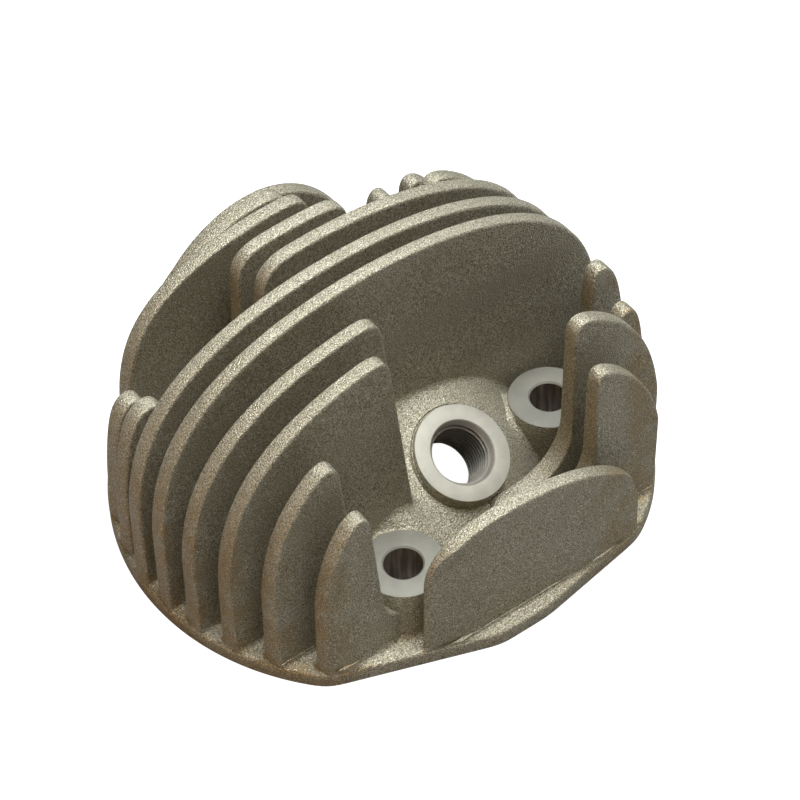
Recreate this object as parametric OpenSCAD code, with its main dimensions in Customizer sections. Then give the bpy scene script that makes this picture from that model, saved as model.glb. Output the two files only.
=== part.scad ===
// Air cooled cylinder head for a small two stroke engine, millimetres.
// Frame: z = 0 is the gasket face, +z points away from the cylinder, the
// cylinder axis is x = y = 0, and the cooling fins run along x.

/* [Base] */
// Radius of the round part of the base flange
base_r = 59.2; // [58.6:0.1:61]
// Thickness of the base flange at its rim
base_t = 4; // [3.5:0.1:5]
// Radius of the larger corner at the front right of the flange
corner_r = 44.7; // [43.5:0.1:47]
// Distance from the axis to the flat front edge
front_flat = 55; // [54.5:0.1:57]

/* [Combustion chamber] */
// Radius of the chamber opening in the gasket face
chamber_r = 28; // [24:0.5:29]
// Depth of the chamber roof above the gasket face
chamber_d = 16; // [12:0.5:17]
// Outer radius of the domed roof
dome_r = 40; // [39:0.5:41]
// Height of the centre of the domed roof's sphere
dome_z = -8.7; // [-9.5:0.1:-8]

/* [Studs] */
// Diameter of the circle through the four stud holes
stud_pcd = 80.3; // [79:0.1:81]
// Diameter of each stud hole
stud_d = 8.5; // [8:0.1:9]
// Height of the machined spot faces above the gasket face
stud_z = 18.2; // [17:0.1:19]
// Radius of each stud boss
stud_boss_r = 9.2; // [9:0.1:9.6]
// Turn of the stud pattern about the axis, away from the fins
stud_turn = 19; // [18:0.5:20]

/* [Spark plug] */
// Bore of the plug hole at the thread crests
plug_bore = 12.8; // [12.6:0.1:13.2]
// Lean of the plug away from the cylinder axis
plug_tilt = 30; // [28:0.5:32]
// Radius of the machined plug seat
plug_seat_r = 11; // [10.5:0.1:11.5]
// Height of the middle of the plug seat
plug_z = 22.2; // [22:0.1:23]

/* [Fins] */
// Distance from one fin to the next
pitch = 8.95; // [8.8:0.05:9.1]
// Fin thickness where it leaves the base
fin_root = 5; // [4.4:0.1:5.4]
// Fin thickness at the height of the tallest fin
fin_tip = 3.2; // [2.8:0.1:3.6]
// Height of the tallest fin
top_h = 71.5; // [68:0.5:74]

/* [Hidden] */
$fn = 96;
eps = 0.01;

env_r = base_r - 0.2;
shift_y = -0.5;
cor_x = 16;
cor_y = -10;
plug_dir = -80.5;
plug_x = 8.9;
plug_y = -22;
plug_boss_r = 12;
plug_reach = 13.6;
low_z = 13;
rib_x = -17;
chamber_R = (chamber_r * chamber_r + chamber_d * chamber_d) / (2 * chamber_d);

// middle plane of fin n, counted 1 to 12 from the front
function fy(n) = (n - 6.5) * pitch + shift_y;

// crest height over the main envelope of height h
function main_z(x, y, h) =
    h * pow(max(1 - (x * x + y * y) / (env_r * env_r), 0.0001), 0.24);

// crest height over the larger front right corner of height h
function corner_z(x, y, h) =
    h * pow(max(1 - pow(norm([x - cor_x, y - cor_y]) / (corner_r - 0.3), 2.5), 0.0001), 1 / 3);

// crest height of a fin that keeps its own arch, half widths al and ar
function arch_z(x, c, al, ar, h, ql, qr) =
    h * pow(max(1 - pow((x - c) / (x < c ? al : ar), 2), 0.0001), x < c ? ql : qr);

// how far a rounded end of radius r lies below the crest, d in from the end
function round_off(d, r) =
    r <= 0 || d >= r ? 0 : r - sqrt(max(r * r - (r - d) * (r - d), 0));

// samples from a to b, closer together towards both ends
function spread(a, b, n) = [for (i = [0:n]) (a + b) / 2 - (b - a) / 2 * cos(180 * i / n)];

// cuts the corners off a run of points, which leaves a smooth line
function soften(p, n) = n == 0 ? p : soften(concat([p[0]],
    [for (i = [0:len(p) - 2]) each [0.75 * p[i] + 0.25 * p[i + 1], 0.25 * p[i] + 0.75 * p[i + 1]]],
    [p[len(p) - 1]]), n - 1);

// where the nose of a fin meets the outline of the main envelope
function nose_x(y) = sqrt(env_r * env_r - y * y) - 0.25;
function nose_cx(y) =
    cor_x + sqrt(pow(corner_r - 0.3, 2) - pow(y - cor_y, 2)) - 0.25;

module flange_2d(grow) {
    difference() {
        union() {
            circle(r = base_r + grow);
            translate([cor_x, cor_y]) circle(r = corner_r + grow);
        }
        translate([-80, -80 - front_flat - grow]) square([160, 80]);
        rotate(-19.8) translate([-80, -133.7 - grow]) square([160, 80]);
        rotate(9.5) translate([-80, -135.4 - grow]) square([160, 80]);
    }
}

module stud_at(k) {
    rotate(stud_turn - 135 + 90 * k) translate([stud_pcd / 2, 0]) rotate(135 - 90 * k - stud_turn) children();
}

module stud_holes() {
    for (k = [0:3]) {
        stud_at(k) translate([0, 0, -1]) cylinder(d = stud_d, h = stud_z + 2);
    }
}

module on_plug() {
    translate([plug_x, plug_y, plug_z]) rotate(plug_dir) rotate([0, plug_tilt, 0]) children();
}

module dome_ball() {
    translate([0, 0, dome_z]) sphere(r = dome_r, $fn = 128);
}

module chamber_ball() {
    translate([0, 0, chamber_d - chamber_R]) sphere(r = chamber_R, $fn = 128);
}

module plug_hole() {
    on_plug() {
        translate([0, 0, -24]) cylinder(d = plug_bore, h = 30);
        translate([0, 0, -1.3]) cylinder(r1 = plug_bore / 2, r2 = plug_bore / 2 + 1.35, h = 1.3 + eps);
    }
}

// room above the machined faces for the nut socket and the plug socket
module tool_room() {
    for (k = [0:3]) {
        stud_at(k) translate([0, 0, stud_z]) cylinder(r = stud_boss_r + 0.6, h = 60);
    }
    on_plug() cylinder(r = plug_boss_r + 0.8, h = 60);
}

// everything that the fins stand against
module core() {
    dome_ball();
    for (k = [0:3]) {
        stud_at(k) cylinder(r = stud_boss_r, h = stud_z);
    }
    on_plug() translate([0, 0, -plug_reach]) cylinder(r = plug_boss_r, h = plug_reach);
}

// an upright plate on the middle plane of fin n, thicker at its root
module plate(n) {
    intersection() {
        translate([0, fy(n), 0]) rotate([90, 0, 0]) translate([0, 0, -5]) linear_extrude(10) children();
        translate([-70, fy(n), 0]) rotate([90, 0, 90]) linear_extrude(140)
            polygon([[-fin_root / 2, base_t], [fin_root / 2, base_t],
                [fin_tip / 2, top_h + 1], [-fin_tip / 2, top_h + 1]]);
    }
}

// a fin's outline: foot corners, then the crest points; a low rib runs on
// from the foot at either end as far as x = la or x = lb
module outline(xa, xb, pts, la = undef, lb = undef) {
    left = is_undef(la) ? [[xa, base_t]] : [[la, base_t], [la, low_z], [xa - 1.4, low_z], [xa, low_z + 1.4]];
    right = is_undef(lb) ? [[xb, base_t]] : [[xb, low_z + 1.4], [xb + 1.4, low_z], [lb, low_z], [lb, base_t]];
    polygon(concat(left, pts, right));
}

// crest points of the main envelope from x = a to x = b, ends rounded
function main_pts(y, h, a, b, ra, rb) =
    [for (x = spread(a, b, 22)) [x, main_z(x, y, h) - round_off(x - a, ra) - round_off(b - x, rb)]];
function corner_pts(y, h, a, b, ra) =
    [for (x = spread(a, b, 18)) [x, corner_z(x, y, h) - round_off(x - a, ra)]];
function arch_pts(a, b, c, al, ar, h, ql, qr, ra, rb) =
    [for (x = spread(a, b, 22)) [x, arch_z(x, c, al, ar, h, ql, qr) - round_off(x - a, ra) - round_off(b - x, rb)]];

module stand_on_core(n) {
    difference() {
        intersection() {
            plate(n) children();
            linear_extrude(90) flange_2d(-0.2);
        }
        core();
        tool_room();
    }
}

module base_flange() color("slategray") {
    difference() {
        union() {
            translate([0, 0, 0.8]) linear_extrude(base_t - 0.8) flange_2d(0);
            linear_extrude(0.8) flange_2d(-0.7);
        }
        dome_ball();
        for (k = [0:3]) {
            stud_at(k) translate([0, 0, -1]) cylinder(r = stud_boss_r, h = 10);
        }
    }
}

module combustion_dome() color("lightsteelblue") {
    difference() {
        intersection() {
            dome_ball();
            cylinder(r = 60, h = 60);
        }
        chamber_ball();
        for (k = [0:3]) {
            stud_at(k) translate([0, 0, -1]) cylinder(r = stud_boss_r, h = stud_z + 1);
            stud_at(k) translate([0, 0, stud_z - eps]) cylinder(r = stud_boss_r + 0.6, h = 30);
        }
        on_plug() translate([0, 0, -plug_reach]) cylinder(r = plug_boss_r, h = 40);
        plug_hole();
    }
}

module plug_boss() color("gold") {
    difference() {
        on_plug() {
            translate([0, 0, -plug_reach]) cylinder(r = plug_boss_r, h = plug_reach - 0.6);
            translate([0, 0, -0.6 - eps]) cylinder(r1 = plug_boss_r, r2 = plug_seat_r, h = 0.6 + eps);
        }
        chamber_ball();
        plug_hole();
        translate([-80, -80, -50]) cube([160, 160, 50 + base_t]);
    }
}

module stud_boss(k) {
    difference() {
        stud_at(k) {
            cylinder(r = stud_boss_r, h = stud_z - 0.5);
            translate([0, 0, stud_z - 0.5 - eps]) cylinder(r1 = stud_boss_r, r2 = stud_boss_r - 0.5, h = 0.5 + eps);
        }
        stud_holes();
        chamber_ball();
    }
}

module stud_boss_front_left() color("darkorange") stud_boss(0);
module stud_boss_front_right() color("darkorange") stud_boss(1);
module stud_boss_rear_right() color("darkorange") stud_boss(2);
module stud_boss_rear_left() color("darkorange") stud_boss(3);

module fin_01_front() color("indianred") {
    stand_on_core(1)
        outline(-21.4, 36.6, arch_pts(-21.4, 36.4, -2.5, 19.4, 39.4, 37.9, 0.13, 0.3, 0, 0));
}

module fin_02_left() color("seagreen") {
    y = fy(2);
    stand_on_core(2) outline(-nose_x(y), -25.6, main_pts(y, top_h, -nose_x(y) + 0.2, -29.8, 0, 6));
}

module fin_02_right() color("seagreen") {
    y = fy(2);
    stand_on_core(2) difference() {
        outline(rib_x, nose_cx(y), concat([[rib_x, 30]], corner_pts(y, 65, 28.2, nose_cx(y) - 0.2, 3)));
        translate([15.4, low_z + 13]) circle(r = 12.8);
        translate([-30, low_z + 13]) square([58.2, 60]);
        translate([-30, low_z + 0.2]) square([45.4, 40]);
    }
}

module fin_03_left() color("steelblue") {
    y = fy(3);
    stand_on_core(3) outline(-nose_x(y), -26.4, main_pts(y, top_h, -nose_x(y) + 0.2, -30.6, 0, 5.4));
}

module fin_03_right() color("steelblue") {
    y = fy(3);
    stand_on_core(3) difference() {
        outline(8, nose_cx(y), concat([[8, 30]], corner_pts(y, 65, 29.2, nose_cx(y) - 0.2, 4)));
        translate([16.4, low_z + 13]) circle(r = 12.8);
        translate([-30, low_z + 13]) square([59.2, 60]);
        translate([-30, low_z + 0.2]) square([46.4, 40]);
    }
}

module fin_04_left() color("mediumpurple") {
    y = fy(4);
    stand_on_core(4) outline(-nose_x(y), -5, main_pts(y, top_h - 0.7, -nose_x(y) + 0.2, -11.4, 0, 2.8));
}

module fin_04_right() color("mediumpurple") {
    y = fy(4);
    end = nose_cx(y);
    stand_on_core(4) outline(46.8, end, soften([[48.2, 24], [48.9, 41], [53.4, 42.2], [56, 34.5],
        [end - 0.5, 16], [end - 0.2, 6]], 3));
}

module fin_05_left() color("peru") {
    y = fy(5);
    stand_on_core(5) outline(-nose_x(y), -0.6, main_pts(y, top_h - 2.5, -nose_x(y) + 0.2, -6.6, 0, 4));
}

module fin_05_right() color("peru") {
    y = fy(5);
    end = nose_cx(y);
    stand_on_core(5) outline(47.6, end, soften([[48.6, 30], [48.9, 46.9], [53.2, 47.8], [57, 40],
        [end - 0.5, 18], [end - 0.2, 6]], 3));
}

module fin_06() color("cadetblue") {
    y = fy(6);
    stand_on_core(6)
        outline(-nose_x(y), nose_x(y), main_pts(y, top_h, 0.2 - nose_x(y), nose_x(y) - 0.2, 0, 0));
}

module fin_07() color("rosybrown") {
    y = fy(7);
    stand_on_core(7)
        outline(-nose_x(y), nose_x(y), main_pts(y, top_h - 2.3, 0.2 - nose_x(y), nose_x(y) - 0.2, 0, 0));
}

module fin_08_left() color("olivedrab") {
    y = fy(8);
    end = 0.4 - nose_x(y);
    stand_on_core(8) outline(end, -42.6, soften([[end + 0.1, 6], [end + 0.6, 25], [-53.2, 41.2],
        [-48.2, 46.2], [-43.2, 43.6], [-43, 26], [-42.8, 14]], 3));
}

module fin_08_main() color("olivedrab") {
    y = fy(8);
    stand_on_core(8)
        outline(-19.4, nose_x(y), main_pts(y, top_h - 2.8, -18.4, nose_x(y) - 0.2, 6, 0), -36);
}

module fin_09_left() color("palevioletred") {
    y = fy(9);
    end = 0.4 - nose_x(y);
    stand_on_core(9) outline(end, -42.6, soften([[end + 0.1, 6], [end + 1, 23], [-50.8, 36.4],
        [-46.8, 39.6], [-43.2, 37.4], [-43, 22], [-42.8, 13]], 3));
}

module fin_09_middle() color("palevioletred") {
    y = fy(9);
    stand_on_core(9)
        outline(-20.2, 11.4, main_pts(y, top_h - 4.5, -18.6, 10.2, 5, 3.6));
}

module fin_09_right() color("palevioletred") {
    y = fy(9);
    stand_on_core(9) outline(29.6, nose_x(y), main_pts(y, top_h - 4.5, 30.8, nose_x(y) - 0.2, 6, 0));
}

module fin_10_main() color("teal") {
    stand_on_core(10)
        outline(-43.8, 7.8, arch_pts(-43.6, 6.2, 2, 46, 44, 61.5, 0.2, 0.2, 0, 3.6), undef, 17);
}

module fin_10_right() color("teal") {
    stand_on_core(10)
        outline(30.4, 44.8, arch_pts(32.2, 44.6, 2, 46, 43.2, 60, 0.2, 0.2, 5.6, 0), 18);
}

module fin_11_main() color("sienna") {
    stand_on_core(11)
        outline(-34.6, 8.4, arch_pts(-34.4, 6.8, 1, 40, 40, 56, 0.45, 0.45, 0, 3.6), undef, 17);
}

module fin_11_right() color("sienna") {
    stand_on_core(11)
        outline(28.2, 38.6, soften([[28.6, 20], [28.9, 38.6], [33.6, 40.4], [36.4, 33], [38.2, 14], [38.5, 5]], 3), 18);
}

module fin_12_rear() color("darkkhaki") {
    stand_on_core(12)
        outline(-27, 29, arch_pts(-26.8, 28.8, 4.5, 34, 29.3, 47.3, 0.5, 0.45, 0, 0));
}

base_flange();
combustion_dome();
plug_boss();
stud_boss_front_left();
stud_boss_front_right();
stud_boss_rear_left();
stud_boss_rear_right();
fin_01_front();
fin_02_left();
fin_02_right();
fin_03_left();
fin_03_right();
fin_04_left();
fin_04_right();
fin_05_left();
fin_05_right();
fin_06();
fin_07();
fin_08_left();
fin_08_main();
fin_09_left();
fin_09_middle();
fin_09_right();
fin_10_main();
fin_10_right();
fin_11_main();
fin_11_right();
fin_12_rear();
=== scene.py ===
# %% [markdown]
# # The cylinder head of a small air cooled engine
# The real part is one aluminium casting: a flange, a domed roof over the
# combustion chamber, bosses for four studs and the spark plug, and a dozen
# upright fins. It is shot blasted all over, then machined in a few places.
# Here each region is a piece of its own, so that each can be shaped and
# finished by itself. The CAD part gives the frame that every piece sits in.

# %% Load the frame
import math

import bmesh
import bpy
from mathutils import Matrix, Vector


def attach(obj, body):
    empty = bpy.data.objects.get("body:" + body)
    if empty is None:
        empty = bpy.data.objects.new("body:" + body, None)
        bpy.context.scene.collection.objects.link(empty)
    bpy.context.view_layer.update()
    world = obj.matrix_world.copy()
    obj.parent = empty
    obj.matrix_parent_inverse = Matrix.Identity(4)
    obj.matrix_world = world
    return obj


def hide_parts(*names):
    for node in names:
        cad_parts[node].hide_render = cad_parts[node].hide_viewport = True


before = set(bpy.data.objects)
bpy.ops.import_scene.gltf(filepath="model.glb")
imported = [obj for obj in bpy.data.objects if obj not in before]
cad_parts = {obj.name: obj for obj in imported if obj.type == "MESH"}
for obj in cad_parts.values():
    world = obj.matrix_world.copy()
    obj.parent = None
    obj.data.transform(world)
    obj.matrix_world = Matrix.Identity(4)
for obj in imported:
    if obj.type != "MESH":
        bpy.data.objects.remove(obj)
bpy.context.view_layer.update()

print("CAD nodes:", len(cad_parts))

# %% [markdown]
# ## Sizes
# Lengths are written in millimetres, as on the drawing, and turned into metres
# at the moment a point is made. The fins are numbered 1 to 12 from the front.
# Each of the flange's flats is given as its lean in degrees and its distance
# from the axis.

# %% Sizes of the casting
MM = 0.001
FLANGE_TOP = 4.0
FLANGE_R, CORNER_R, CORNER = 59.15, 44.65, (16.0, -10.0)
FLATS = ((0, 54.95), (19.8, 53.65), (-9.5, 55.35))
DOME_R, DOME_Z, DOME_EDGE = 40.0, -8.7, 42.0
CHAMBER_R, CHAMBER_Z = 32.5, -16.5
STUD_CIRCLE, FIRST_STUD = 40.15, 19 - 135
STUD_Z, STUD_R, BOSS_R = 18.2, 4.25, 9.2
STUDS = {}
for turn, place in enumerate(("front_left", "front_right", "rear_right", "rear_left")):
    angle = math.radians(FIRST_STUD + 90 * turn)
    STUDS[place] = (STUD_CIRCLE * math.cos(angle), STUD_CIRCLE * math.sin(angle))
PLUG, PLUG_LEAN, PLUG_TURN = Vector((8.9, -22.0, 22.2)), 30, -80.5
PITCH, ROOT, TIP, TALL = 8.95, 2.5, 1.6, 71.5
JOIN_Z, RIM = 3.5, 0.9


def at(x, y, z):
    return Vector((x, y, z)) * MM


def fin_y(n):
    return (n - 6.5) * PITCH - 0.5


def half_thick(z):
    """Half a fin's thickness at height z."""
    return ROOT - (ROOT - TIP) * (z - FLANGE_TOP) / (TALL + 1 - FLANGE_TOP)


print("studs at", {k: (round(x, 1), round(y, 1)) for k, (x, y) in STUDS.items()})

# %% [markdown]
# ## The outline of the flange
# The flange's outline is a circle, widened at the front right and cut along
# three flats at the front. It is found along rays from the axis, and the
# ends of the flats are softened by averaging neighbouring rays.

# %% Flange outline
def flange_reach(angle):
    dx, dy = math.cos(angle), math.sin(angle)
    along = CORNER[0] * dx + CORNER[1] * dy
    corner = along + math.sqrt(CORNER_R**2 - CORNER[0] ** 2 - CORNER[1] ** 2 + along**2)
    reach = max(FLANGE_R, corner)
    for lean, distance in FLATS:
        slant = dx * math.sin(math.radians(lean)) + dy * math.cos(math.radians(lean))
        if slant < 0:
            reach = min(reach, distance / -slant)
    return reach


RAYS, SOFTENINGS = 288, 4
reaches = [flange_reach(2 * math.pi * k / RAYS) for k in range(RAYS)]
for _ in range(SOFTENINGS):
    reaches = [
        (reaches[k - 1] + 2 * reaches[k] + reaches[(k + 1) % RAYS]) / 4 for k in range(RAYS)
    ]


def rim_gap(x, y):
    """How far (x, y) lies inside the flange's outline, along its ray."""
    turn = (math.atan2(y, x) / (2 * math.pi) % 1) * RAYS
    k = int(turn) % RAYS
    reach = reaches[k] + (reaches[(k + 1) % RAYS] - reaches[k]) * (turn - int(turn))
    return reach - math.hypot(x, y)


print("flange reaches from", round(min(reaches), 1), "to", round(max(reaches), 1), "mm")

# %% [markdown]
# ## The skin of the casting
# Molten metal won't fill a sharp inner corner and a mould won't release one, so
# wherever two walls of a casting meet there is a fillet. One function gives the
# height of the skin anywhere: the flange with its rounded rim, the dome, and a
# soft blend between them. The feet of the fins and bosses are fitted to it.
# `dip` is a hollow in the dome at the front left of the plug boss.

# %% Height of the skin
DIP_DEPTH, DIP_REACH, DIP_FADE = 4.2, 21, 8.0
BLEND, STEEP_R = 5.0, 39.7


def smooth_step(value):
    value = min(max(value, 0), 1)
    return value * value * (3 - 2 * value)


def dip(x, y):
    """The depth of the hollow that leaves the plug boss standing proud."""
    dx, dy = x - PLUG.x, (y - PLUG.y) / 0.9
    far = math.hypot(dx, dy) + 1e-6
    side = min(max(0.60 - 0.45 * (0.85 * dx + 0.53 * dy) / far, 0), 1)
    fade = smooth_step((DOME_R - math.hypot(x, y)) / 4)
    return DIP_DEPTH * side * smooth_step((DIP_REACH - far) / DIP_FADE) * fade


def skin(x, y):
    r2 = x * x + y * y
    if r2 < STEEP_R**2:
        dome = DOME_Z + math.sqrt(DOME_R**2 - r2)
    else:
        dome = DOME_Z - 4 * (math.sqrt(r2) - STEEP_R)
    near = max(1 - abs(dome - FLANGE_TOP) / BLEND, 0)
    over = min(max(RIM - rim_gap(x, y), 0), RIM)
    rounding = RIM - math.sqrt(RIM**2 - over**2)
    return max(dome, FLANGE_TOP) + BLEND * near * near / 4 - rounding - dip(x, y)


print("skin at the middle, at 30 mm and at 50 mm:", [round(skin(r, 0), 2) for r in (0, 30, 50)])

# %% [markdown]
# ## Materials
# Three finishes cover the whole part. Blasted metal is a field of tiny dents,
# so it is rough and grainy; its bright specks are painted glints, and its dents
# are darkened with painted shade. At the outer ends of the fins, near the rim,
# a mottled brown tint is painted in as warm light. Machined metal is paler and
# smoother, with fine rings from the cutter. The bores have dark and pale streaks
# along the hole, which are painted shade and painted highlights.

# %% Node helper
def new_group(name, inputs, outputs):
    group = bpy.data.node_groups.new(name, "ShaderNodeTree")
    for label, kind, value in inputs:
        socket = group.interface.new_socket(name=label, in_out="INPUT", socket_type=kind)
        socket.default_value = value
    for label, kind in outputs:
        group.interface.new_socket(name=label, in_out="OUTPUT", socket_type=kind)
    return group, group.nodes.new("NodeGroupInput"), group.nodes.new("NodeGroupOutput")


def add(tree, kind, **values):
    node = tree.nodes.new(kind)
    for key, value in values.items():
        if key in node.inputs.keys():
            node.inputs[key].default_value = value
        else:
            setattr(node, key, value)
    return node


def mix_colour(tree, factor, a, b):
    node = tree.nodes.new("ShaderNodeMix")
    node.data_type = "RGBA"
    for name, value in (("Factor", factor), (6, a), (7, b)):
        socket = node.inputs[name]
        if hasattr(value, "is_output"):
            tree.links.new(value, socket)
        else:
            socket.default_value = value
    return node.outputs[2]


def ramp(tree, value, low, high):
    node = add(tree, "ShaderNodeMapRange", interpolation_type="SMOOTHSTEP")
    node.inputs["From Min"].default_value = low
    node.inputs["From Max"].default_value = high
    tree.links.new(value, node.inputs["Value"])
    return node.outputs["Result"]


# %% [markdown]
# The grain is a group, with its scale as an input. A fine noise makes the dents,
# which also set where painted shade darkens them, a finer one picks the specks
# that are painted pale as glints, and a broad one makes patches. All read Object
# coordinates, which here are metres, so a scale of 2900 gives dents about a third
# of a millimetre wide.

# %% Blasted grain group
grain, grain_in, grain_out = new_group(
    "blasted_grain",
    [("Scale", "NodeSocketFloat", 2000.0)],
    [("Height", "NodeSocketFloat"), ("Specks", "NodeSocketFloat"), ("Patches", "NodeSocketFloat")],
)
coords = add(grain, "ShaderNodeTexCoord")
dents = add(grain, "ShaderNodeTexNoise", Detail=2.0, Roughness=0.6)
fine = add(grain, "ShaderNodeTexNoise", Detail=1.0, Roughness=0.5)
finer = add(grain, "ShaderNodeMath", operation="MULTIPLY")
finer.inputs[1].default_value = 1.45
broad = add(grain, "ShaderNodeTexNoise", Scale=70.0, Detail=4.0, Roughness=0.6)
grain.links.new(grain_in.outputs["Scale"], dents.inputs["Scale"])
grain.links.new(grain_in.outputs["Scale"], finer.inputs[0])
grain.links.new(finer.outputs[0], fine.inputs["Scale"])
for node in (dents, fine, broad):
    grain.links.new(coords.outputs["Object"], node.inputs["Vector"])
grain.links.new(dents.outputs["Fac"], grain_out.inputs["Height"])
grain.links.new(ramp(grain, fine.outputs["Fac"], 0.56, 0.76), grain_out.inputs["Specks"])
grain.links.new(ramp(grain, broad.outputs["Fac"], 0.35, 0.68), grain_out.inputs["Patches"])
print("group:", grain.name)

# %% [markdown]
# The painted warm light group finds how far a point is from the cylinder's axis,
# and fades in over the last few millimetres before the rim, mottled by a noise.

# %% Rim group for painted warm light
warm_light_group, warm_light_in, warm_light_out = new_group(
    "rim_painted_warm_light",
    [("Start", "NodeSocketFloat", 0.0535), ("Full", "NodeSocketFloat", 0.0582)],
    [("Mask", "NodeSocketFloat")],
)
coords = add(warm_light_group, "ShaderNodeTexCoord")
flat = add(warm_light_group, "ShaderNodeVectorMath", operation="MULTIPLY")
flat.inputs[1].default_value = (1, 1, 0)
length = add(warm_light_group, "ShaderNodeVectorMath", operation="LENGTH")
reach = add(warm_light_group, "ShaderNodeMapRange", interpolation_type="SMOOTHSTEP")
mottle = add(warm_light_group, "ShaderNodeTexNoise", Scale=160.0, Detail=3.0)
share = add(warm_light_group, "ShaderNodeMath", operation="MULTIPLY")
warm_light_group.links.new(coords.outputs["Object"], flat.inputs[0])
warm_light_group.links.new(flat.outputs["Vector"], length.inputs[0])
warm_light_group.links.new(length.outputs["Value"], reach.inputs["Value"])
warm_light_group.links.new(warm_light_in.outputs["Start"], reach.inputs["From Min"])
warm_light_group.links.new(warm_light_in.outputs["Full"], reach.inputs["From Max"])
warm_light_group.links.new(coords.outputs["Object"], mottle.inputs["Vector"])
warm_light_group.links.new(reach.outputs["Result"], share.inputs[0])
warm_light_group.links.new(ramp(warm_light_group, mottle.outputs["Fac"], 0.3, 0.62), share.inputs[1])
warm_light_group.links.new(share.outputs[0], warm_light_out.inputs["Mask"])
print("group:", warm_light_group.name)


# %% Cast aluminium
def new_material(name, metallic):
    material = bpy.data.materials.new(name)
    material.use_nodes = True
    shader = material.node_tree.nodes["Principled BSDF"]
    shader.inputs["Metallic"].default_value = metallic
    shader.inputs["IOR"].default_value = 1.5
    return material, material.node_tree, shader


DARK_METAL, PALE_METAL = (0.362, 0.320, 0.228, 1), (0.416, 0.374, 0.276, 1)
PAINTED_WARM_LIGHT, PAINTED_PIT_SHADE, GLINT = (0.330, 0.222, 0.092, 1), (0.150, 0.132, 0.088, 1), (0.70, 0.675, 0.57, 1)
cast, tree, shader = new_material("blasted_casting", 0.6)
marks = add(tree, "ShaderNodeGroup", node_tree=grain)
marks.inputs["Scale"].default_value = 2900.0
rim = add(tree, "ShaderNodeGroup", node_tree=warm_light_group)
body = mix_colour(tree, marks.outputs["Patches"], DARK_METAL, PALE_METAL)
# Browner towards the rim: painted warm light on the outer ends of the fins.
body = mix_colour(tree, rim.outputs["Mask"], body, PAINTED_WARM_LIGHT)
# Painted shade: the colour darkens where the dents are deepest.
pit_shade = ramp(tree, marks.outputs["Height"], 0.62, 0.38)
body = mix_colour(tree, pit_shade, body, PAINTED_PIT_SHADE)
# Painted glints: the specks get a pale colour as well as a lower roughness.
body = mix_colour(tree, marks.outputs["Specks"], body, GLINT)
tree.links.new(body, shader.inputs["Base Color"])
rough = add(tree, "ShaderNodeMapRange")
rough.inputs["To Min"].default_value = 0.52
rough.inputs["To Max"].default_value = 0.34
tree.links.new(marks.outputs["Specks"], rough.inputs["Value"])
tree.links.new(rough.outputs["Result"], shader.inputs["Roughness"])
bump = add(tree, "ShaderNodeBump", Strength=0.9, Distance=0.00034)
tree.links.new(marks.outputs["Height"], bump.inputs["Height"])
tree.links.new(bump.outputs["Normal"], shader.inputs["Normal"])
print("material:", cast.name)

# %% [markdown]
# A spot facer or a lathe leaves rings round its own axis. Each machined face
# has a different axis, so one function makes the finish for a given centre and
# lean. A Mapping node moves the rings to that axis, and a Wave texture in rings
# mode draws them.

# %% Machined aluminium
SPOT_FACED, UNDERSIDE = (0.180, 0.168, 0.136, 1), (0.46, 0.45, 0.41, 1)
SEAT_METAL, THREAD_METAL = (0.325, 0.303, 0.248, 1), (0.23, 0.205, 0.17, 1)


def machined_finish(name, centre, pale, lean=(0, 0, 0), scale=700.0):
    material, tree, shader = new_material(name, 0.35)
    coords = add(tree, "ShaderNodeTexCoord")
    turn = add(tree, "ShaderNodeMapping", vector_type="TEXTURE")
    turn.inputs["Location"].default_value = Vector(centre) * MM
    turn.inputs["Rotation"].default_value = lean
    rings = add(tree, "ShaderNodeTexWave", Scale=scale, Distortion=0.6, Detail=2.0)
    rings.wave_type, rings.rings_direction = "RINGS", "Z"
    haze = add(tree, "ShaderNodeTexNoise", Scale=240.0, Detail=4.0)
    tree.links.new(coords.outputs["Object"], turn.inputs["Vector"])
    tree.links.new(turn.outputs["Vector"], rings.inputs["Vector"])
    tree.links.new(coords.outputs["Object"], haze.inputs["Vector"])
    dull = tuple(c * 0.86 for c in pale[:3]) + (1,)
    colour = mix_colour(tree, ramp(tree, haze.outputs["Fac"], 0.35, 0.65), dull, pale)
    tree.links.new(colour, shader.inputs["Base Color"])
    rough = add(tree, "ShaderNodeMapRange")
    rough.inputs["To Min"].default_value = 0.58
    rough.inputs["To Max"].default_value = 0.68
    tree.links.new(haze.outputs["Fac"], rough.inputs["Value"])
    tree.links.new(rough.outputs["Result"], shader.inputs["Roughness"])
    bump = add(tree, "ShaderNodeBump", Strength=0.18, Distance=0.00003)
    tree.links.new(rings.outputs["Fac"], bump.inputs["Height"])
    tree.links.new(bump.outputs["Normal"], shader.inputs["Normal"])
    return material


turned = machined_finish("turned_underside", (0, 0, 0), UNDERSIDE, scale=420.0)
print("material:", turned.name)

# %% Bore with painted shade and highlights
BORE_PAINTED_SHADE, BORE_PAINTED_HIGHLIGHT = (0.20, 0.155, 0.115, 1), (0.46, 0.40, 0.33, 1)
bore, tree, shader = new_material("bore_painted_shade_and_highlights", 0.8)
coords = add(tree, "ShaderNodeTexCoord")
stretch = add(tree, "ShaderNodeMapping")
stretch.inputs["Scale"].default_value = (900, 900, 90)
streaks = add(tree, "ShaderNodeTexNoise", Scale=1.0, Detail=3.0)
tree.links.new(coords.outputs["Object"], stretch.inputs["Vector"])
tree.links.new(stretch.outputs["Vector"], streaks.inputs["Vector"])
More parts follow.
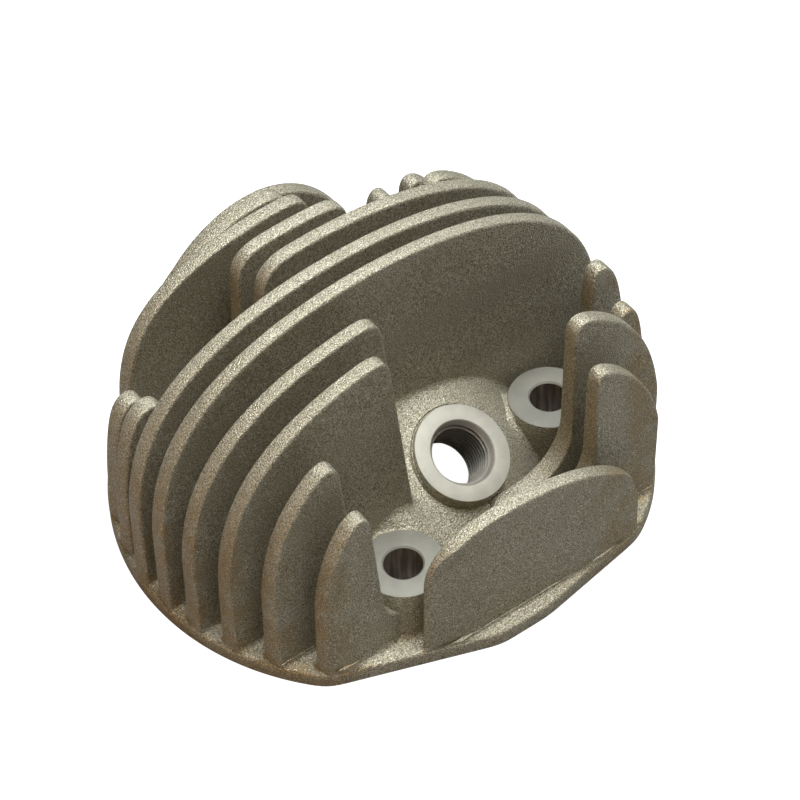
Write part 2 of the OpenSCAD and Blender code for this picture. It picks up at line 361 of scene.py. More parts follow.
# Dark and pale streaks along the hole: painted shade and painted highlights.
colour = mix_colour(tree, ramp(tree, streaks.outputs["Fac"], 0.35, 0.7), BORE_PAINTED_SHADE, BORE_PAINTED_HIGHLIGHT)
tree.links.new(colour, shader.inputs["Base Color"])
shader.inputs["Roughness"].default_value = 0.38
bump = add(tree, "ShaderNodeBump", Strength=0.3, Distance=0.00005)
tree.links.new(streaks.outputs["Fac"], bump.inputs["Height"])
tree.links.new(bump.outputs["Normal"], shader.inputs["Normal"])
print("material:", bore.name)


# %% [markdown]
# ## Tools for making pieces
# `lay_grid` bends a flat grid through rows of points. `close_shell` merges the
# seams, caps what is open and turns every face outwards. `raised` makes a plate
# out of one face, and `round_edges` bevels it. `to_object` makes the object, and
# `finish_piece` marks its sharp edges, hangs it on the root and hides the CAD
# nodes it stands for.

# %% Helpers for pieces
made = []


def lay_grid(bm, rows):
    m, n = len(rows), len(rows[0])
    sheet = bmesh.ops.create_grid(bm, x_segments=m - 1, y_segments=n - 1, size=1.0)["verts"]
    for vert in sheet:
        i = round((vert.co.x + 1) / 2 * (m - 1))
        j = round((vert.co.y + 1) / 2 * (n - 1))
        vert.co = rows[i][j]


def close_shell(bm):
    bmesh.ops.remove_doubles(bm, verts=bm.verts, dist=0.000002)
    open_edges = [e for e in bm.edges if len(e.link_faces) == 1]
    if open_edges:
        bmesh.ops.holes_fill(bm, edges=open_edges, sides=0)
    bmesh.ops.recalc_face_normals(bm, faces=bm.faces)


def raised(bm, face, height):
    """Extrudes a face and moves the new one by the vector `height`."""
    risen = bmesh.ops.extrude_face_region(bm, geom=[face])["geom"]
    moved = [part for part in risen if isinstance(part, bmesh.types.BMVert)]
    bmesh.ops.translate(bm, vec=height, verts=moved)
    bmesh.ops.recalc_face_normals(bm, faces=bm.faces)


def round_edges(bm, edges, offset):
    bmesh.ops.bevel(
        bm, geom=edges, offset=offset * MM, segments=4, affect="EDGES", profile=0.5,
        material=-1, clamp_overlap=False,
    )


def to_object(bm, name, materials):
    mesh = bpy.data.meshes.new(name)
    bm.to_mesh(mesh)
    bm.free()
    for material in materials:
        mesh.materials.append(material)
    piece = bpy.data.objects.new(name, mesh)
    bpy.context.scene.collection.objects.link(piece)
    return piece


def finish_piece(piece, nodes, sharp=38):
    piece.data.polygons.foreach_set("use_smooth", [True] * len(piece.data.polygons))
    piece.data.set_sharp_from_angle(angle=math.radians(sharp))
    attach(piece, "root")
    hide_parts(*nodes)
    made.append(piece)
    points = [vert.co / MM for vert in piece.data.vertices]
    box = [[round(end(point[i] for point in points), 1) for i in range(3)] for end in (min, max)]
    print(piece.name, box, len(piece.data.polygons), "faces")


# %% [markdown]
# A hole is cut with a Boolean modifier and a cutter object. The result is kept
# as the piece's own mesh and the cutter is thrown away, so that nothing is left
# to be worked out again later.

# %% Cutting
def spun(bm, profile, steps=96):
    """Spins (radius, height) points round the z axis, which makes a closed shell."""
    verts = [bm.verts.new(at(r, 0, z)) for r, z in profile]
    edges = [bm.edges.new((a, b)) for a, b in zip(verts, verts[1:])]
    if profile[0][0] > 0 or profile[-1][0] > 0:
        edges.append(bm.edges.new((verts[-1], verts[0])))
    bmesh.ops.spin(
        bm, geom=verts + edges, cent=(0, 0, 0), axis=(0, 0, 1), angle=2 * math.pi,
        steps=steps, use_merge=True,
    )
    bmesh.ops.remove_doubles(bm, verts=bm.verts, dist=0.000001)
    bmesh.ops.recalc_face_normals(bm, faces=bm.faces)


def cutter(profile, place=None, steps=96):
    bm = bmesh.new()
    spun(bm, profile, steps)
    if place is not None:
        bmesh.ops.transform(bm, matrix=place, verts=bm.verts)
    return to_object(bm, "cutter", [])


def carve(piece, cutters):
    for tool in cutters:
        cut = piece.modifiers.new("cut", "BOOLEAN")
        cut.operation, cut.solver, cut.object = "DIFFERENCE", "EXACT", tool
    bpy.context.view_layer.update()
    seen = piece.evaluated_get(bpy.context.evaluated_depsgraph_get())
    mesh = bpy.data.meshes.new_from_object(seen)
    piece.modifiers.clear()
    piece.data = mesh
    for tool in cutters:
        bpy.data.objects.remove(tool)


def upright(x, y):
    return Matrix.Translation(at(x, y, 0))


PLUG_FRAME = (
    Matrix.Translation(PLUG * MM)
    @ Matrix.Rotation(math.radians(PLUG_TURN), 4, "Z")
    @ Matrix.Rotation(math.radians(PLUG_LEAN), 4, "Y")
)


def ball(radius, height, rings=48):
    """The half section of a ball, from pole to pole."""
    points = []
    for k in range(rings + 1):
        angle = math.pi * k / rings
        out = radius * math.sin(angle) if 0 < k < rings else 0.0
        points.append((out, height + radius * math.cos(angle)))
    return points


# %% [markdown]
# ## The base flange
# The flange is a flat plate. Its outline is filled and extruded, its rims are
# bevelled, and the chamber and the stud holes are cut through it. Its underside
# is the gasket face, which is machined.

# %% Flange
LOWER_RIM, HOLE_IN_TOP = 0.5, 30
CHAMBER_MOUTH = 28.5
bm = bmesh.new()
ring = []
for k, reach in enumerate(reaches):
    angle = 2 * math.pi * k / RAYS
    ring.append(bm.verts.new(at(reach * math.cos(angle), reach * math.sin(angle), 0)))
raised(bm, bm.faces.new(ring), (0, 0, FLANGE_TOP * MM))
for level, offset in ((FLANGE_TOP, RIM), (0.0, LOWER_RIM)):
    rim = [e for e in bm.edges if all(abs(v.co.z - level * MM) < 1e-6 for v in e.verts)]
    round_edges(bm, rim, offset)
flange = to_object(bm, "base_flange_casting", [cast, turned, bore])
middle = [(0, JOIN_Z), (HOLE_IN_TOP, JOIN_Z), (HOLE_IN_TOP, 9), (0, 9)]
cuts = [cutter(ball(CHAMBER_R, CHAMBER_Z), steps=128), cutter(middle)]
for x, y in STUDS.values():
    drill = [(0, -2), (STUD_R, -2), (STUD_R, JOIN_Z), (6, JOIN_Z), (6, 9), (0, 9)]
    cuts.append(cutter(drill, upright(x, y), 64))
carve(flange, cuts)
for face in flange.data.polygons:
    x, y, z = face.center / MM
    off = min(math.hypot(x - stud_x, y - stud_y) for stud_x, stud_y in STUDS.values())
    if z < 0.1 or (z < JOIN_Z and math.hypot(x, y) < CHAMBER_MOUTH):
        face.material_index = 1
    elif z < JOIN_Z and off < STUD_R + 0.15:
        face.material_index = 2
finish_piece(flange, ["base_flange"])
print("flange faces:", len(flange.data.polygons))

# %% [markdown]
# ## The domed roof
# The roof is a body of revolution, so its half section is spun round the axis:
# down the dome along the skin, in under the flange, and up the chamber. Its rim
# is sunk a little below the flange's top, because two faces in one plane show
# as black patches. The points near the plug boss are lowered into the hollow
# round it. Then room is cut for the plug boss, and for the stud bosses.

# %% Domed roof
DOME_STEPS, ROOF_STEPS = 34, 20
SUNK, SUNK_FROM = 0.08, 39.2
PLUG_ROOM, PLUG_BOTTOM = 11.6, -30
profile = []
for k in range(DOME_STEPS + 1):
    r = DOME_EDGE * math.sin(math.pi / 2 * k / DOME_STEPS)
    profile.append((r, skin(-r, 0) + dip(-r, 0) - (SUNK if r > SUNK_FROM else 0)))
profile.append((DOME_EDGE, JOIN_Z))
inner = math.asin((JOIN_Z - CHAMBER_Z) / CHAMBER_R)
for k in range(ROOF_STEPS + 1):
    angle = inner + (math.pi / 2 - inner) * k / ROOF_STEPS
    out = CHAMBER_R * math.cos(angle) if k < ROOF_STEPS else 0.0
    profile.append((out, CHAMBER_Z + CHAMBER_R * math.sin(angle)))
bm = bmesh.new()
spun(bm, profile, 160)
for vert in bm.verts:
    x, y, z = vert.co / MM
    if z > skin(x, y) + dip(x, y) - 0.3 and z > FLANGE_TOP + 1:
        vert.co.z -= dip(x, y) * MM
dome = to_object(bm, "combustion_dome_casting", [cast, turned])
cuts = [
    cutter([(0, PLUG_BOTTOM), (PLUG_ROOM, PLUG_BOTTOM), (PLUG_ROOM, 10), (0, 10)], PLUG_FRAME),
    cutter([(0, -0.2), (12.5, -0.2), (13.6, 14), (0, 14)], PLUG_FRAME),
]
stud_room = [(0, -2), (7, -2), (7, 30), (0, 30)]
cuts += [cutter(stud_room, upright(x, y), 64) for x, y in STUDS.values()]
carve(dome, cuts)
for face in dome.data.polygons:
    if abs((face.center / MM - Vector((0, 0, CHAMBER_Z))).length - CHAMBER_R) < 0.2:
        face.material_index = 1
finish_piece(dome, ["combustion_dome"], sharp=30)
print("dome faces:", len(dome.data.polygons))

# %% [markdown]
# ## Fillets round the bosses
# A fillet is a strip with a hollow quarter round section. It starts level with
# the skin and ends level with the wall. `fillet_row` gives one section of it,
# with a heel that is buried in the metal so that the strip is a closed body.


# %% Fillet section
INSIDE_RIM = 0.2
HEEL_IN, HEEL_DOWN = 0.7, -0.8
SECTION_STEPS, ROUND_STEPS = 6, 72


def on_skin(x, y, up):
    """A point up mm above the skin, kept inside the flange's rim."""
    gap = rim_gap(x, y)
    if gap < INSIDE_RIM:
        keep = 1 - (INSIDE_RIM - gap) / math.hypot(x, y)
        x, y = x * keep, y * keep
    return at(x, y, skin(x, y) + up)


def fillet_row(centre, direction, wall, radius, lift=on_skin):
    section = []
    for k in range(SECTION_STEPS + 1):
        a = math.pi / 2 * k / SECTION_STEPS
        section.append((wall + radius * (1 - math.sin(a)), radius * (1 - math.cos(a))))
    section += [(wall - HEEL_IN, radius), (wall - HEEL_IN, HEEL_DOWN), (wall + radius, HEEL_DOWN)]
    row = []
    for out, up in section:
        row.append(lift(centre[0] + direction[0] * out, centre[1] + direction[1] * out, up))
    return row + [row[0].copy()]


def round_fillet(bm, centre, wall, radius, lift):
    rows = []
    for k in range(ROUND_STEPS + 1):
        a = 2 * math.pi * (k % ROUND_STEPS) / ROUND_STEPS
        rows.append(fillet_row(centre, (math.cos(a), math.sin(a)), wall, radius, lift))
    lay_grid(bm, rows)


# %% [markdown]
# ## The stud bosses
# Each boss is a short column, cast a little rough, with a flat face cut for the
# nut and a plain hole through it. The section of the column is spun round its
# own axis. The cutter leaves a fine sharp edge, broken with a small chamfer.

# %% Stud bosses
BOSS_FILLET = 2.4
boss_profile = [
    (STUD_R, JOIN_Z),
    (STUD_R, STUD_Z - 0.35),
    (STUD_R + 0.35, STUD_Z),
    (BOSS_R - 0.45, STUD_Z),
    (BOSS_R - 0.12, STUD_Z - 0.16),
    (BOSS_R, STUD_Z - 0.5),
    (BOSS_R + 0.05, STUD_Z - 4),
    (BOSS_R + 0.1, JOIN_Z),
]


def under_face(x, y, up):
    """As on_skin, but never higher than just below the spot face."""
    point = on_skin(x, y, up)
    point.z = min(point.z, (STUD_Z - 0.7) * MM)
    return point


for place, (x, y) in STUDS.items():
    face_finish = machined_finish("spot_face_" + place, (x, y, 0), SPOT_FACED)
    bm = bmesh.new()
    spun(bm, boss_profile)
    bmesh.ops.translate(bm, vec=at(x, y, 0), verts=bm.verts)
    round_fillet(bm, (x, y), BOSS_R + 0.05, BOSS_FILLET, under_face)
    close_shell(bm)
    boss = to_object(bm, "stud_boss_" + place + "_turned", [cast, face_finish, bore])
    for face in boss.data.polygons:
        off = math.hypot(face.center.x / MM - x, face.center.y / MM - y)
        if off < STUD_R + 0.1:
            face.material_index = 2
        elif off < BOSS_R - 0.2 and face.center.z > (STUD_Z - 0.4) * MM:
            face.material_index = 1
    finish_piece(boss, ["stud_boss_" + place], sharp=30)
print("stud bosses:", len(STUDS))

# %% [markdown]
# ## The plug boss
# The spark plug screws in at a lean of 30 degrees. Its boss is spun as the stud
# bosses are, with rows set close together down the bore. Then each row is moved
# in or out by how far round and how far down it is, which cuts a true helix with
# a pitch of 1.25 mm. The thread fades out at both ends, as a tapped one does.

# %% Plug boss
THREAD_PITCH, THREAD_R, THREAD_DEPTH = 1.25, 6.4, 0.62
BORE_FOOT, ROW_STEP, ROWS = -14.6, 0.125, 107
PLUG_WALL, PLUG_FILLET, HIGHEST_FILLET = 11.4, 1.0, -2.1
SEAT_R = 10.9
bm = bmesh.new()
profile = [(11.9, BORE_FOOT)] + [(THREAD_R, BORE_FOOT + ROW_STEP * k) for k in range(ROWS)]
profile += [(7.35, -0.25), (7.6, 0.0), (SEAT_R, 0.0)]
profile += [(11.05, -0.1), (11.15, -0.4), (11.3, -1.4), (11.5, -2.6)]
spun(bm, profile)
for vert in bm.verts:
    x, y, z = vert.co / MM
    r = math.hypot(x, y)
    if r < THREAD_R + 0.1:
        turn = (z / THREAD_PITCH - math.atan2(y, x) / (2 * math.pi)) % 1
        tooth = min(1, 2.6 * (0.5 - abs(turn - 0.5)))
        fade_in, fade_out = min(1, max(0, (-z - 1.2) / 0.8)), min(1, max(0, (z + 14.4) / 1.5))
        fade = fade_in * fade_out
        r_new = THREAD_R + 0.55 - THREAD_DEPTH * tooth * fade + 0.12 * (1 - fade)
        vert.co.x *= r_new / r
        vert.co.y *= r_new / r


def on_dome(x, y, up):
    """A point up mm above where the line along the plug at (x, y) leaves the dome."""
    base = PLUG_FRAME @ at(x, y, 0)
    axis = PLUG_FRAME.to_3x3() @ Vector((0, 0, 1))
    offset = (base - at(0, 0, DOME_Z)) / MM
    b = offset.dot(axis)
    t = -b + math.sqrt(max(b * b - offset.length_squared + DOME_R**2, 0))
    spot = (base + axis * t * MM) / MM
    return at(x, y, min(t - dip(spot.x, spot.y) * 0.9, HIGHEST_FILLET) + up)


fillet = bmesh.new()
round_fillet(fillet, (0, 0), PLUG_WALL, PLUG_FILLET, on_dome)
close_shell(fillet)
collar = bpy.data.meshes.new("fillet")
fillet.to_mesh(collar)
fillet.free()
bm.from_mesh(collar)
bmesh.ops.transform(bm, matrix=PLUG_FRAME, verts=bm.verts)
bmesh.ops.recalc_face_normals(bm, faces=bm.faces)
lean = tuple(PLUG_FRAME.to_euler())
seat_finish = machined_finish("plug_seat", PLUG, SEAT_METAL, lean)
thread_finish = machined_finish("tapped_thread", PLUG, THREAD_METAL, lean)
plug = to_object(bm, "plug_boss_tapped", [cast, seat_finish, thread_finish])
back = PLUG_FRAME.inverted()
carve(plug, [cutter(ball(CHAMBER_R + 0.04, CHAMBER_Z), steps=128)])
for face in plug.data.polygons:
    p = (back @ face.center) / MM
    off = math.hypot(p.x, p.y)
    if off < 7.2 and p.z > -15:
        face.material_index = 2
    elif off < 11.6 and p.z > -0.3:
        face.material_index = 1
finish_piece(plug, ["plug_boss"], sharp=35)
print("plug boss faces:", len(plug.data.polygons))

# %% [markdown]
# ## The fins
# A fin is a flat plate, thicker at its root so that it leaves the mould. Its
# outline is drawn in the plate's own plane: the crest, the two ends, and a foot
# that follows the skin a little way below it. The outline becomes a face, the
# face is extruded, the rims are bevelled to the soft edge of a casting, and the
# whole plate is tapered. A fillet runs round its foot. Last, whatever would
# hang over the flange's rim is drawn in to it.


# %% Outline tools
BURIED, LOWEST_FOOT = 1.2, 1.4


def foot_z(x, y):
    return max(min(skin(x, y - ROOT), skin(x, y + ROOT)) - BURIED, LOWEST_FOOT)


def drop(top, foot_x, y):
    """Slides from the crest's end towards the foot until it is under the skin."""
    low, high = 0.0, 1.6
    for _ in range(30):
        t = (low + high) / 2
        x, z = top[0] + (foot_x - top[0]) * t, top[1] + (FLANGE_TOP - top[1]) * t
        low, high = (t, high) if z > foot_z(x, y) else (low, t)
    return (top[0] + (foot_x - top[0]) * low, top[1] + (FLANGE_TOP - top[1]) * low)


def spread(a, b, n):
    return [(a + b) / 2 - (b - a) / 2 * math.cos(math.pi * i / n) for i in range(n + 1)]


def round_off(d, r):
    """How far a corner of radius r lowers the crest at a distance d from its end."""
    return 0 if r <= 0 or d >= r else r - math.sqrt(max(r * r - (r - d) ** 2, 0))


def crest(height, a, b, ra=0, rb=0, n=30):
    return [(x, height(x) - round_off(x - a, ra) - round_off(b - x, rb)) for x in spread(a, b, n)]


# %% [markdown]
# A bevel needs edges of an even length to run cleanly round a curve, so the
# finished crest line is cut into equal steps.

# %% Even steps
def even(line, step=1.3):
    lengths = [math.dist(a, b) for a, b in zip(line, line[1:])]
    total = sum(lengths)
    count = max(2, round(total / step))
    points, k, gone = [line[0]], 0, 0.0
    for i in range(1, count):
        target = total * i / count
        while gone + lengths[k] < target:
            gone += lengths[k]
            k += 1
        t = (target - gone) / lengths[k]
        points.append(tuple(p + (q - p) * t for p, q in zip(line[k], line[k + 1])))
    return points + [line[-1]]


def soften(line, times=3):
    """Cuts the corners off a run of points, which leaves a smooth line."""
    for _ in range(times):
        cut = []
        for a, b in zip(line, line[1:]):
            cut += [tuple(p + (q - p) * t for p, q in zip(a, b)) for t in (0.25, 0.75)]
        line = [line[0]] + cut + [line[-1]]
    return line


def ease(line, times):
    """Rounds off corners by averaging neighbours, and leaves both ends alone."""
    for _ in range(times):
        inner = []
        for near in zip(line, line[1:], line[2:]):
            inner.append(tuple((a + 2 * b + c) / 4 for a, b, c in zip(*near)))
        line = [line[0]] + inner + [line[-1]]
    return line


# %% [markdown]
# The crests follow one of three shapes: the main envelope of the head, the
# larger corner at the front right, or an arch of the fin's own. An arch has its
# peak at `middle`, and its own reach and roundness to the left and the right.

# %% Envelopes
FIN_R, CORNER_FIN_R, SHORT_OF_RIM, LEAST = 59.0, 44.4, 0.3, 0.0001


def main_z(n, height):
    return lambda x: height * max(1 - (x * x + fin_y(n) ** 2) / FIN_R**2, LEAST) ** 0.24


def corner_z(n, height):
    def crest_z(x):
        share = math.hypot(x - CORNER[0], fin_y(n) - CORNER[1]) / CORNER_FIN_R
        return height * max(1 - share**2.5, LEAST) ** (1 / 3)

    return crest_z


def arch_z(middle, reach, height, power):
    def crest_z(x):
        side = 0 if x < middle else 1
        return height * max(1 - ((x - middle) / reach[side]) ** 2, LEAST) ** power[side]

    return crest_z


def nose(n):
    """How far fin n reaches along x on the main envelope."""
    return math.sqrt(FIN_R**2 - fin_y(n) ** 2) - SHORT_OF_RIM


def corner_nose(n):
    """How far fin n reaches to the right on the larger corner."""
    return CORNER[0] + math.sqrt(CORNER_FIN_R**2 - (fin_y(n) - CORNER[1]) ** 2) - SHORT_OF_RIM


print("fin 6 nose at", round(nose(6), 1), "mm")


# %% [markdown]
# The fillet at a fin's foot runs along both of its faces. It can also wrap round
# an end, where the path turns by half a circle.

# %% Foot fillet
STEP_ALONG, TURN_STEPS = 1.3, 14


def foot_fillet(bm, n, left, right, wrap, radius, slim):
    y = fin_y(n)
    inset = slim * half_thick(skin((left + right) / 2, y))
    a = left + inset if wrap[0] else left
    b = right - inset if wrap[1] else right
    count = max(3, int((b - a) / STEP_ALONG))
    front = [(a + (b - a) * k / count, -math.pi / 2) for k in range(count + 1)]
    rear = [(b - (b - a) * k / count, math.pi / 2) for k in range(count + 1)]
    turns = [math.pi * k / TURN_STEPS for k in range(1, TURN_STEPS + 1)]
    if wrap[1]:
        runs = [front + [(b, turn - math.pi / 2) for turn in turns[:-1]] + rear]
    else:
        runs = [front, rear]
    if wrap[0]:
        runs[-1] += [(a, turn + math.pi / 2) for turn in turns]
    for run in runs:
        rows = []
        for x, angle in run:
            c, s = math.cos(angle), math.sin(angle)
            round_square = (abs(c) ** 4 + abs(s) ** 4) ** -0.25
            wall = slim * half_thick(skin(x, y)) * round_square
            rows.append(fillet_row((x, y), (c, s), wall, radius))
        lay_grid(bm, rows)


# %% [markdown]
# `blade` makes one fin from its crest line and the x of both ends of its foot.
# `wrap` tells which ends the fillet goes round. `slim` thins the whole blade.

# %% Blade
CREST_EDGE, FACE_INSET, FOOT_STEP, CLEAR_OF_RIM = 0.75, 0.25, 2.0, 0.25
WRAP_LEFT, WRAP_RIGHT, WRAP_BOTH = (True, False), (False, True), (True, True)


def bare_edges(bm, low):
    """The edges of both faces of a plate, apart from those along its foot."""
    buried = {(round(v.co.x, 7), round(v.co.z, 7)) for v in low}
    found = []
    for edge in bm.edges:
        across = abs(edge.verts[0].co.y - edge.verts[1].co.y) > 1e-6
        along_foot = all((round(v.co.x, 7), round(v.co.z, 7)) in buried for v in edge.verts)
        if not across and not along_foot:
            found.append(edge)
    return found


def keep_inside_rim(bm):
    for vert in bm.verts:
        gap = rim_gap(vert.co.x / MM, vert.co.y / MM)
        if gap < CLEAR_OF_RIM:
            keep = 1 - (CLEAR_OF_RIM - gap) * MM / math.hypot(vert.co.x, vert.co.y)
            vert.co.x, vert.co.y = vert.co.x * keep, vert.co.y * keep


def blade(name, n, top, foot_a, foot_b, wrap=(False, False), radius=1.3, eased=4,
          fillet_from=None, slim=1.0):
    y = fin_y(n)
    left, right = drop(top[0], foot_a, y), drop(top[-1], foot_b, y)
    top = ease(even([left] + top + [right]), eased)[1:-1]
    count = max(2, int((right[0] - left[0]) / FOOT_STEP))
    inner = [right[0] + (left[0] - right[0]) * k / count for k in range(1, count)]
    foot = [right] + [(x, foot_z(x, y)) for x in inner] + [left]
    bm = bmesh.new()
    ring = [bm.verts.new(at(x, y - ROOT, z)) for x, z in top]
    low = [bm.verts.new(at(x, y - ROOT, z)) for x, z in foot]
    raised(bm, bm.faces.new(ring + low), (0, 2 * ROOT * MM, 0))
    round_edges(bm, bare_edges(bm, low), CREST_EDGE)
    sides = sorted(bm.faces, key=lambda face: face.calc_area())[-2:]
    bmesh.ops.inset_region(bm, faces=sides, thickness=FACE_INSET * MM, use_even_offset=True)
    for vert in bm.verts:
        off = vert.co.y - y * MM
        vert.co.y = y * MM + off * slim * half_thick(vert.co.z / MM) / ROOT
    foot_fillet(bm, n, fillet_from or left[0] + 0.1, right[0] - 0.1, wrap, radius, slim)
    keep_inside_rim(bm)
    close_shell(bm)
    piece = to_object(bm, name + "_casting", [cast])
    finish_piece(piece, [name], sharp=40)


# %% [markdown]
# Fins 1 to 5 are at the front. Number 1 stands alone on the front ledge. Numbers
# 2 to 5 are broken by the plug and the studs: each has a left blade, and a right
# blade at the rim. The right blades of 2 and 3 sweep down in a hollow curve to a
# low rib that ties them to the stud boss. A short, narrow blade is drawn as a
# few corner points, called a tab here, and then softened.

# %% Front fins
RIB_Z, SWEEP_R, SWEEP_STEPS, END = 13.2, 12.8, 14, 0.25


def swept(n, rib_a, sweep_a, height, end, end_r):
    """A low rib, a hollow quarter round, and a blade up to the corner envelope."""
    arc = []
    for k in range(SWEEP_STEPS + 1):
        turn = math.pi / 2 * k / SWEEP_STEPS
        x = sweep_a + SWEEP_R * math.sin(turn)
        arc.append((x, RIB_Z + SWEEP_R - SWEEP_R * math.cos(turn)))
    return [(rib_a, RIB_Z)] + arc + crest(corner_z(n, height), sweep_a + SWEEP_R, end, end_r)


top = crest(arch_z(-2.5, (19.4, 39.4), 37.9, (0.13, 0.3)), -21.3, 36.4)
blade("fin_01_front", 1, top, -21.4, 36.6, WRAP_BOTH, radius=0.9, slim=0.82)
top = crest(main_z(2, TALL), END - nose(2), -29.9, 0, 5.5)
blade("fin_02_left", 2, top + [(-27.4, 17), (-25.8, 13.8), (-22.2, RIB_Z)], -nose(2), -22.2)
top = crest(main_z(3, TALL), END - nose(3), -30.7, 0, 5)
blade("fin_03_left", 3, top, -nose(3), -26.5, WRAP_RIGHT)
for n, start, sweep_a, end_r, clear in ((2, -12.4, 15.4, 3, None), (3, 9.5, 16.4, 4, 18.5)):
    top = swept(n, start, sweep_a, 65, corner_nose(n) - END, end_r)
    blade(f"fin_0{n}_right", n, top, start, corner_nose(n), fillet_from=clear)
top = crest(main_z(4, 70.8), END - nose(4), -11.4, 0, 2.8)
blade("fin_04_left", 4, top, -nose(4), -5, WRAP_RIGHT)
edge = corner_nose(4)
tab = [(48.2, 24), (48.9, 41), (53.4, 42.2), (56, 34.5), (edge - 0.5, 16), (edge - 0.2, 6)]
blade("fin_04_right", 4, soften(tab), 46.9, edge, WRAP_LEFT, eased=1)
top = crest(main_z(5, 69.3), END - nose(5), -6.8, 0, 3.6)
blade("fin_05_left", 5, top, -nose(5), -0.6, WRAP_RIGHT)
edge = corner_nose(5)
tab = [(48.6, 30), (48.9, 46.9), (53.2, 47.8), (57, 40), (edge - 0.5, 18), (edge - 0.2, 6)]
blade("fin_05_right", 5, soften(tab), 47.7, edge, WRAP_LEFT, eased=1)
print("pieces so far:", len(made))

# %% [markdown]
# Fins 6 and 7 run right across the head. They are the tallest.

# %% Middle fins
for n, height in ((6, TALL), (7, 69.2)):
    top = crest(main_z(n, height), END - nose(n), nose(n) - END, n=48)
    blade(f"fin_0{n}", n, top, -nose(n), nose(n))
print("pieces so far:", len(made))

# %% [markdown]
# Fins 8 to 12, at the back, are broken where a socket has to reach the rear
# studs, and get lower towards the rear. The last three stand in from the rim.

# %% Rear fins
edge = 0.4 - nose(8)
tab = [(edge + 0.1, 6), (edge + 0.6, 25), (-53.2, 41.2), (-48.2, 46.2)]
tab += [(-43.2, 43.6), (-43, 26), (-42.8, 14)]
blade("fin_08_left", 8, soften(tab), edge, -42.7, eased=1)
top = crest(main_z(8, 68.7), -18.4, nose(8) - END, 6, 0)
blade("fin_08_main", 8, top, -19.4, nose(8), WRAP_LEFT)
edge = 0.4 - nose(9)
tab = [(edge + 0.1, 6), (edge + 1, 23), (-50.8, 36.4), (-46.8, 39.6)]
tab += [(-43.2, 37.4), (-43, 22), (-42.8, 13)]
blade("fin_09_left", 9, soften(tab), edge, -42.7, eased=1)
blade("fin_09_middle", 9, crest(main_z(9, 67), -18.6, 10.2, 5, 3.6), -20.2, 11.4, WRAP_BOTH)
top = crest(main_z(9, 67), 30.8, nose(9) - END, 6, 0)
blade("fin_09_right", 9, top, 29.6, nose(9), WRAP_LEFT)
top = crest(arch_z(2, (46, 44), 61.5, (0.2, 0.2)), -43.6, 6.2, 0, 3.6)
blade("fin_10_main", 10, top, -43.8, 7.8, WRAP_BOTH)
top = crest(arch_z(2, (46, 43.2), 60, (0.2, 0.2)), 32.2, 44.6, 5.6)
blade("fin_10_right", 10, top, 30.5, 44.8, WRAP_BOTH)
top = crest(arch_z(1, (40, 40), 56, (0.45, 0.45)), -34.4, 6.8, 0, 3.6)
blade("fin_11_main", 11, top + [(8.0, 15.5), (9.6, 13.2), (12.4, 13)], -34.6, 12.4)
tab = [(22.8, 13), (28.5, 13.1), (28.8, 38.6), (33.6, 40.4), (36.4, 33), (38.2, 14), (38.5, 5)]
blade("fin_11_right", 11, soften(tab), 22.8, 38.6, eased=1)
top = crest(arch_z(4.5, (34, 29.3), 47.3, (0.5, 0.45)), -26.8, 28.8)
blade("fin_12_rear", 12, top, -27, 29, WRAP_BOTH)
print("pieces:", len(made))

# %% [markdown]
# ## Floor, light and camera
# The part stands on plain white paper under a wide soft light straight above,
# with a weaker one to the front, one behind that runs along the crests of the
# fins, and a weak warm fill from the left, as in a catalogue.
# The paper glows for the camera alone, so it looks white and doesn't wash out
# the metal.

# %% Floor
bm = bmesh.new()
bmesh.ops.create_grid(bm, x_segments=8, y_segments=8, size=3.0)
bmesh.ops.translate(bm, vec=(0, 0, -0.0001), verts=bm.verts)
paper, tree, shader = new_material("white_paper", 0.0)
fibre = add(tree, "ShaderNodeTexNoise", Scale=40.0, Detail=3.0)
grey_low, grey_high = (0.21, 0.21, 0.21, 1), (0.24, 0.24, 0.24, 1)
tone = mix_colour(tree, fibre.outputs["Fac"], grey_low, grey_high)
tree.links.new(tone, shader.inputs["Base Color"])
shader.inputs["Roughness"].default_value = 0.9
sight = add(tree, "ShaderNodeLightPath")
glow = add(tree, "ShaderNodeMath", operation="MULTIPLY")
glow.inputs[1].default_value = 1.0
tree.links.new(sight.outputs["Is Camera Ray"], glow.inputs[0])
tree.links.new(glow.outputs[0], shader.inputs["Emission Strength"])
shader.inputs["Emission Color"].default_value = (1, 1, 1, 1)
floor = to_object(bm, "floor", [paper])


# %% Lights
LIT_POINT = Vector((0, 0, 0.03))


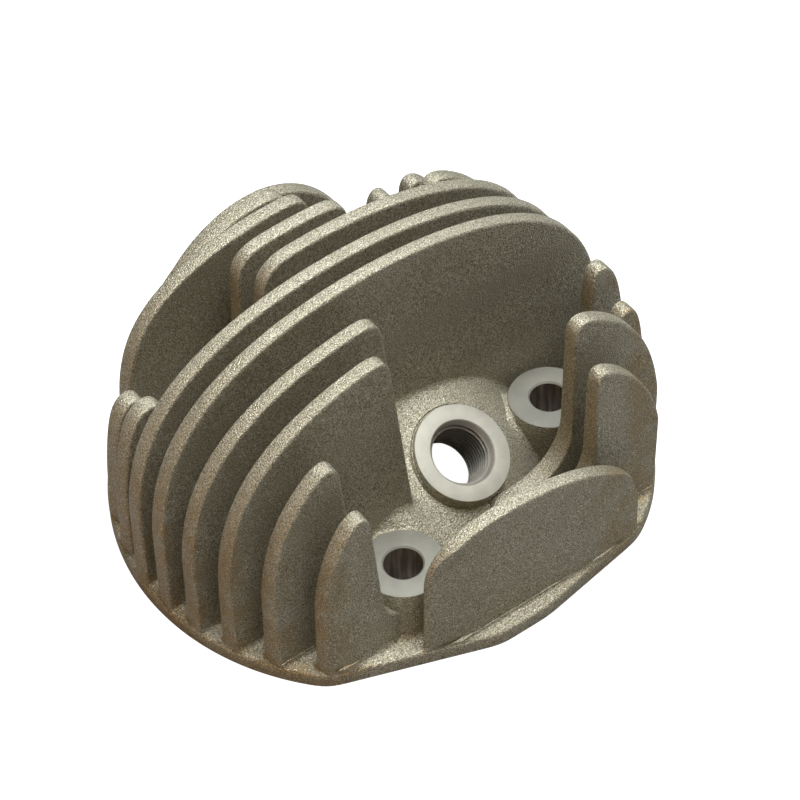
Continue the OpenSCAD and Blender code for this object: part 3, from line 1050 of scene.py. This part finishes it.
def soft_light(name, place, size, power, colour):
    data = bpy.data.lights.new(name, "AREA")
    data.shape, data.size, data.energy, data.color = "DISK", size, power, colour
    lamp = bpy.data.objects.new(name, data)
    lamp.location = place
    lamp.rotation_euler = (Vector(place) - LIT_POINT).to_track_quat("Z", "Y").to_euler()
    bpy.context.scene.collection.objects.link(lamp)


soft_light("key", (0.10, -0.40, 0.90), 0.5, 3.2, (1.0, 0.95, 0.86))
soft_light("overhead", (0.12, -0.08, 1.0), 0.5, 18.5, (0.88, 0.945, 1.0))
soft_light("rear", (0.30, 0.50, 0.80), 0.5, 5.0, (0.88, 0.945, 1.0))
soft_light("fill", (-0.9, -0.15, 0.30), 0.4, 2.6, (1.0, 0.60, 0.24))
world = bpy.data.worlds.new("studio")
world.use_nodes = True
world.node_tree.nodes["Background"].inputs["Color"].default_value = (1, 1, 1, 1)
world.node_tree.nodes["Background"].inputs["Strength"].default_value = 0.03
bpy.context.scene.world = world
bpy.context.scene.view_settings.view_transform = "Standard"

# %% [markdown]
# The camera looks down at 48 degrees from the front left, with a long lens, so
# the fins stay almost parallel.

# %% Camera
azimuth, elevation, roll = (math.radians(angle) for angle in (-35.258, 47.685, -1.506))
away, aside, above = 0.606946, 0.006695, 0.017101
right = Vector((math.cos(azimuth), math.sin(azimuth), 0))
back_way = Vector((
    math.sin(azimuth) * math.cos(elevation),
    -math.cos(azimuth) * math.cos(elevation),
    math.sin(elevation),
))
up = back_way.cross(right)
place = back_way * away + right * aside + up * above
turned_right = right * math.cos(roll) + up * math.sin(roll)
turned_up = up * math.cos(roll) - right * math.sin(roll)
lens = bpy.data.cameras.new("camera")
lens.sensor_width, lens.lens = 36.0, 121.52
lens.clip_start = 0.01
camera = bpy.data.objects.new("camera", lens)
facing = Matrix((turned_right, turned_up, back_way)).transposed().to_4x4()
camera.matrix_world = Matrix.Translation(place) @ facing
bpy.context.scene.collection.objects.link(camera)
bpy.context.scene.camera = camera
print("camera at", [round(c, 3) for c in camera.matrix_world.translation])
